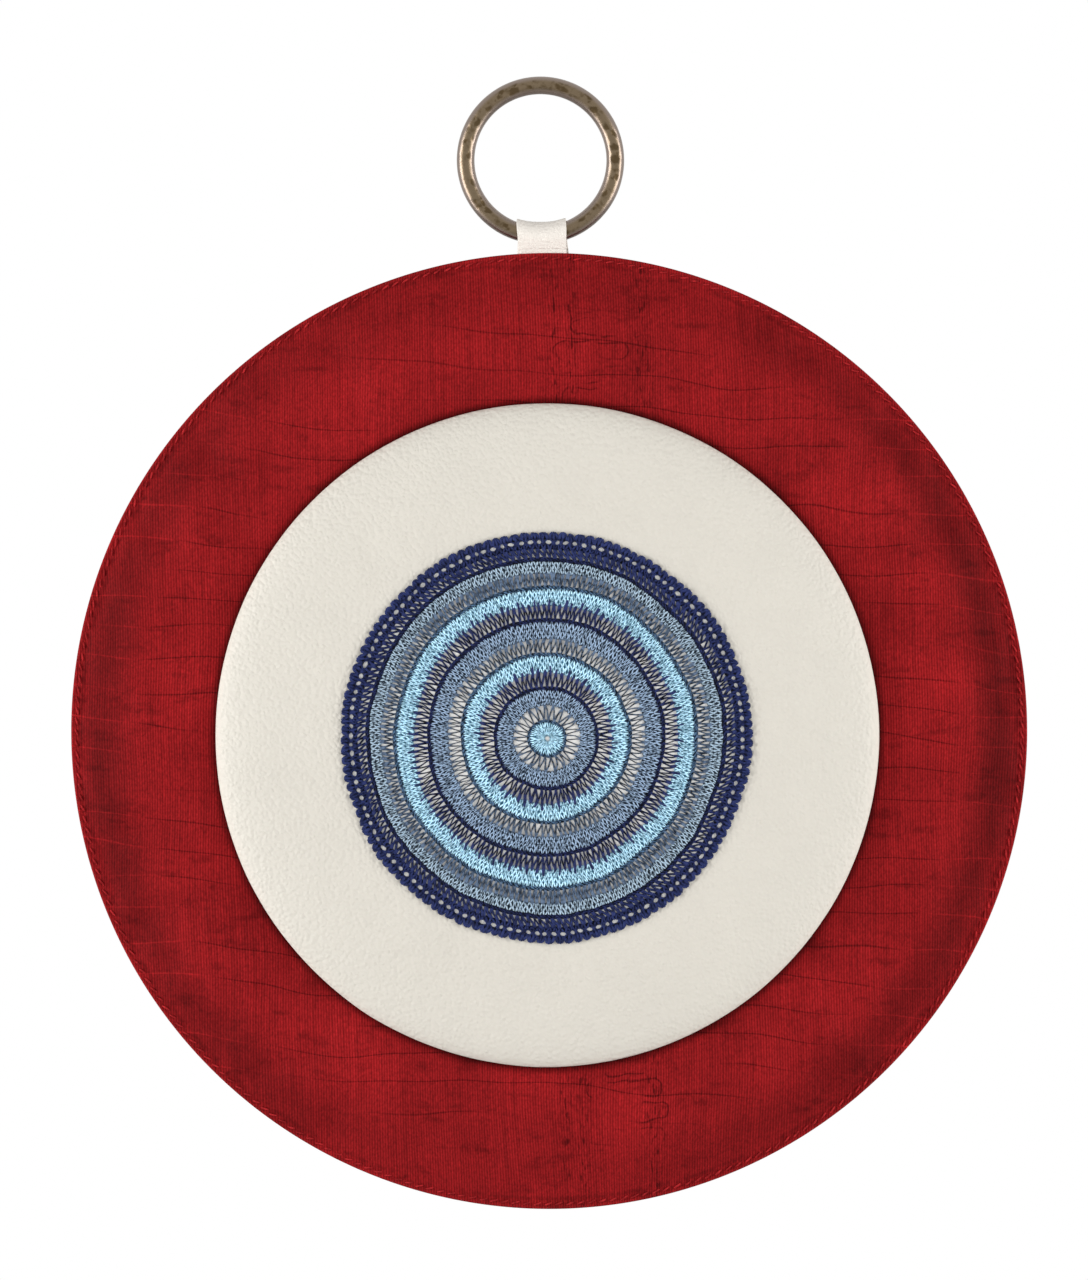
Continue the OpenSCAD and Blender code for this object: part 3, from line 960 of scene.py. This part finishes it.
def spoke_round(name, inner, outer, count, slant, over, thick):
    """An open round: strands that zigzag between its edges and end in spikes over the next round."""
    depth = outer - inner
    pitch_in = TURN * inner / count
    pitch_out = TURN * outer / count
    spikes = (0.4, 1.4, 0.8)
    pieces = []
    for turn, length in enumerate(spikes):
        strands = []
        for side in (-1, 1):
            strands.append(yarn_strand(
                (inner - 0.4, side * 0.47 * pitch_in - slant, 0.36, thick),
                (inner + 0.15 * depth, side * 0.40 * pitch_in - 0.7 * slant, 0.15, thick),
                (inner + 0.65 * depth, side * 0.17 * pitch_out + 0.3 * slant, 0.14, thick),
                (outer, side * 0.05 * pitch_out + slant, 0.50, 1.5 * thick),
                (outer + length * over, side * 0.02 * pitch_out + slant, 0.78, 0.8 * thick)))
        row = go_round(stitch("loop", strands), EYE, count // len(spikes))
        turn_row(row, turn * TURN / count)
        pieces.append(row)
    piece = join_rounds(name, pieces)
    plump(piece, 0.2 * thick * MM)
    return piece


def plump(piece, amount):
    """Makes the strands fuller here and there, and most at the top and bottom, where they lie closer."""
    outwards = [vertex.normal.copy() for vertex in piece.data.vertices]
    for vertex, outward in zip(piece.data.vertices, outwards):
        upright = (vertex.co.z - EYE.z) / max(0.1 * MM, from_middle(vertex.co, EYE))
        vertex.co += outward * amount * (upright ** 2 + 1.3 * noise.noise(vertex.co * 170))


def navy_edge(name, inner, outer, count):
    """The last round: a dense band, posts with an eyelet between each two, and a picot on every post."""
    band = inner + 1.35
    eyelet = inner + 2.0
    rail = inner + 2.70
    pitch = TURN * eyelet / count
    posts = []
    picots = []
    for side in (-1, 1):
        posts.append(yarn_strand(
            (band - 0.2, side * 0.38 * pitch, 0.25, 0.50),
            (band + 0.4, side * 0.14 * pitch, 0.26, 0.60),
            (rail - 0.4, side * 0.14 * pitch, 0.26, 0.60),
            (rail + 0.2, side * 0.40 * pitch, 0.25, 0.50)))
        picots.append(yarn_strand(
            (rail + 0.3, side * 0.46 * pitch, 0.28, 0.60),
            (rail + 0.9, side * 0.38 * pitch, 0.42, 0.95),
            (outer - 1.2, side * 0.31 * pitch, 0.45, 1.00),
            (outer - 0.6, side * 0.13 * pitch, 0.38, 0.85)))
    posts.append(yarn_strand(
        (band - 0.2, 0, 0.25, 0.60), (eyelet, 0, 0.30, 0.60), (rail + 0.4, 0, 0.25, 0.60)))
    picots.append(yarn_strand(
        (rail + 0.4, 0, 0.32, 0.70),
        (rail + 1.0, 0, 0.52, 0.95),
        (outer - 1.0, 0, 0.52, 0.95),
        (outer - 0.4, 0, 0.36, 0.75)))
    rows = [bed(inner, band, 0.25),
            v_row(inner, band, round(1.5 * count), 0, 0.1),
            bed(rail, rail + 1.2, 0.3),
            go_round(stitch("post", posts), EYE, count),
            go_round(stitch("picot", picots), EYE, count)]
    return join_rounds(name, rows)


def crocheted_eye():
    """Every round of the eye, from the middle out."""
    radius = {}
    edge_of_last = 0.8
    rounds = ("sky_centre", "teal_line_1", "grey_spokes_1",
              "slate_round_1", "navy_line_1", "navy_spokes_1",
              "sky_round_1", "teal_line_2", "grey_spokes_2",
              "slate_round_2", "navy_line_2", "navy_spokes_2",
              "sky_round_2", "blue_line", "grey_spokes_3",
              "pale_slate_round", "navy_line_3", "navy_spokes_3", "navy_edge")
    for node in rounds:
        radius[node] = (edge_of_last, reach(node).x / MM)
        edge_of_last = reach(node).x / MM
    slots = {row["node"]: row["material_slot"] for row in frame["record"]["subparts"]}
    dense = {"sky_centre": (22, 3, 0.4), "slate_round_1": (72, 4, 0.35), "sky_round_1": (110, 4, 0.4),
             "slate_round_2": (163, 4, 0.5), "sky_round_2": (228, 4, 0.4), "pale_slate_round": (242, 3, 0)}
    lines = {"teal_line_1": 26, "navy_line_1": 88, "teal_line_2": 140,
             "navy_line_2": 196, "blue_line": 250, "navy_line_3": 300}
    spokes = {"grey_spokes_1": (24, 0, 0.3, 0.32), "navy_spokes_1": (72, 0, 1.4, 0.40),
              "grey_spokes_2": (108, 0, 0.4, 0.34), "navy_spokes_2": (156, 0, 1.4, 0.42),
              "grey_spokes_3": (195, 0, 0.4, 0.54), "navy_spokes_3": (189, 0.7, 0.3, 0.62)}
    for node in rounds:
        inner, outer = radius[node]
        name = "crochet_" + node
        if node in dense:
            piece = dense_round(name, inner, outer, *dense[node])
        elif node in lines:
            piece = line_round(name, inner, outer, lines[node])
        elif node in spokes:
            piece = spoke_round(name, inner, outer, *spokes[node])
        else:
            piece = navy_edge(name, inner, outer, 136)
        hand_work(piece)
        settle(piece, YARN[slots[node]], "panel", slots[node], node)


camera()
studio()
hanging_ring()
leather_strap()
front_cover()
back_cover()
rim_stitches("needle_stitches", EDGE_Y, -1, STITCH_SLANT, 0.22 * MM, "rim_needle_thread")
rim_stitches("bobbin_stitches", BACK_Y, 1, 0, 0.15 * MM, "rim_bobbin_thread")
board_and_wadding()
medallion_leather()
crocheted_eye()
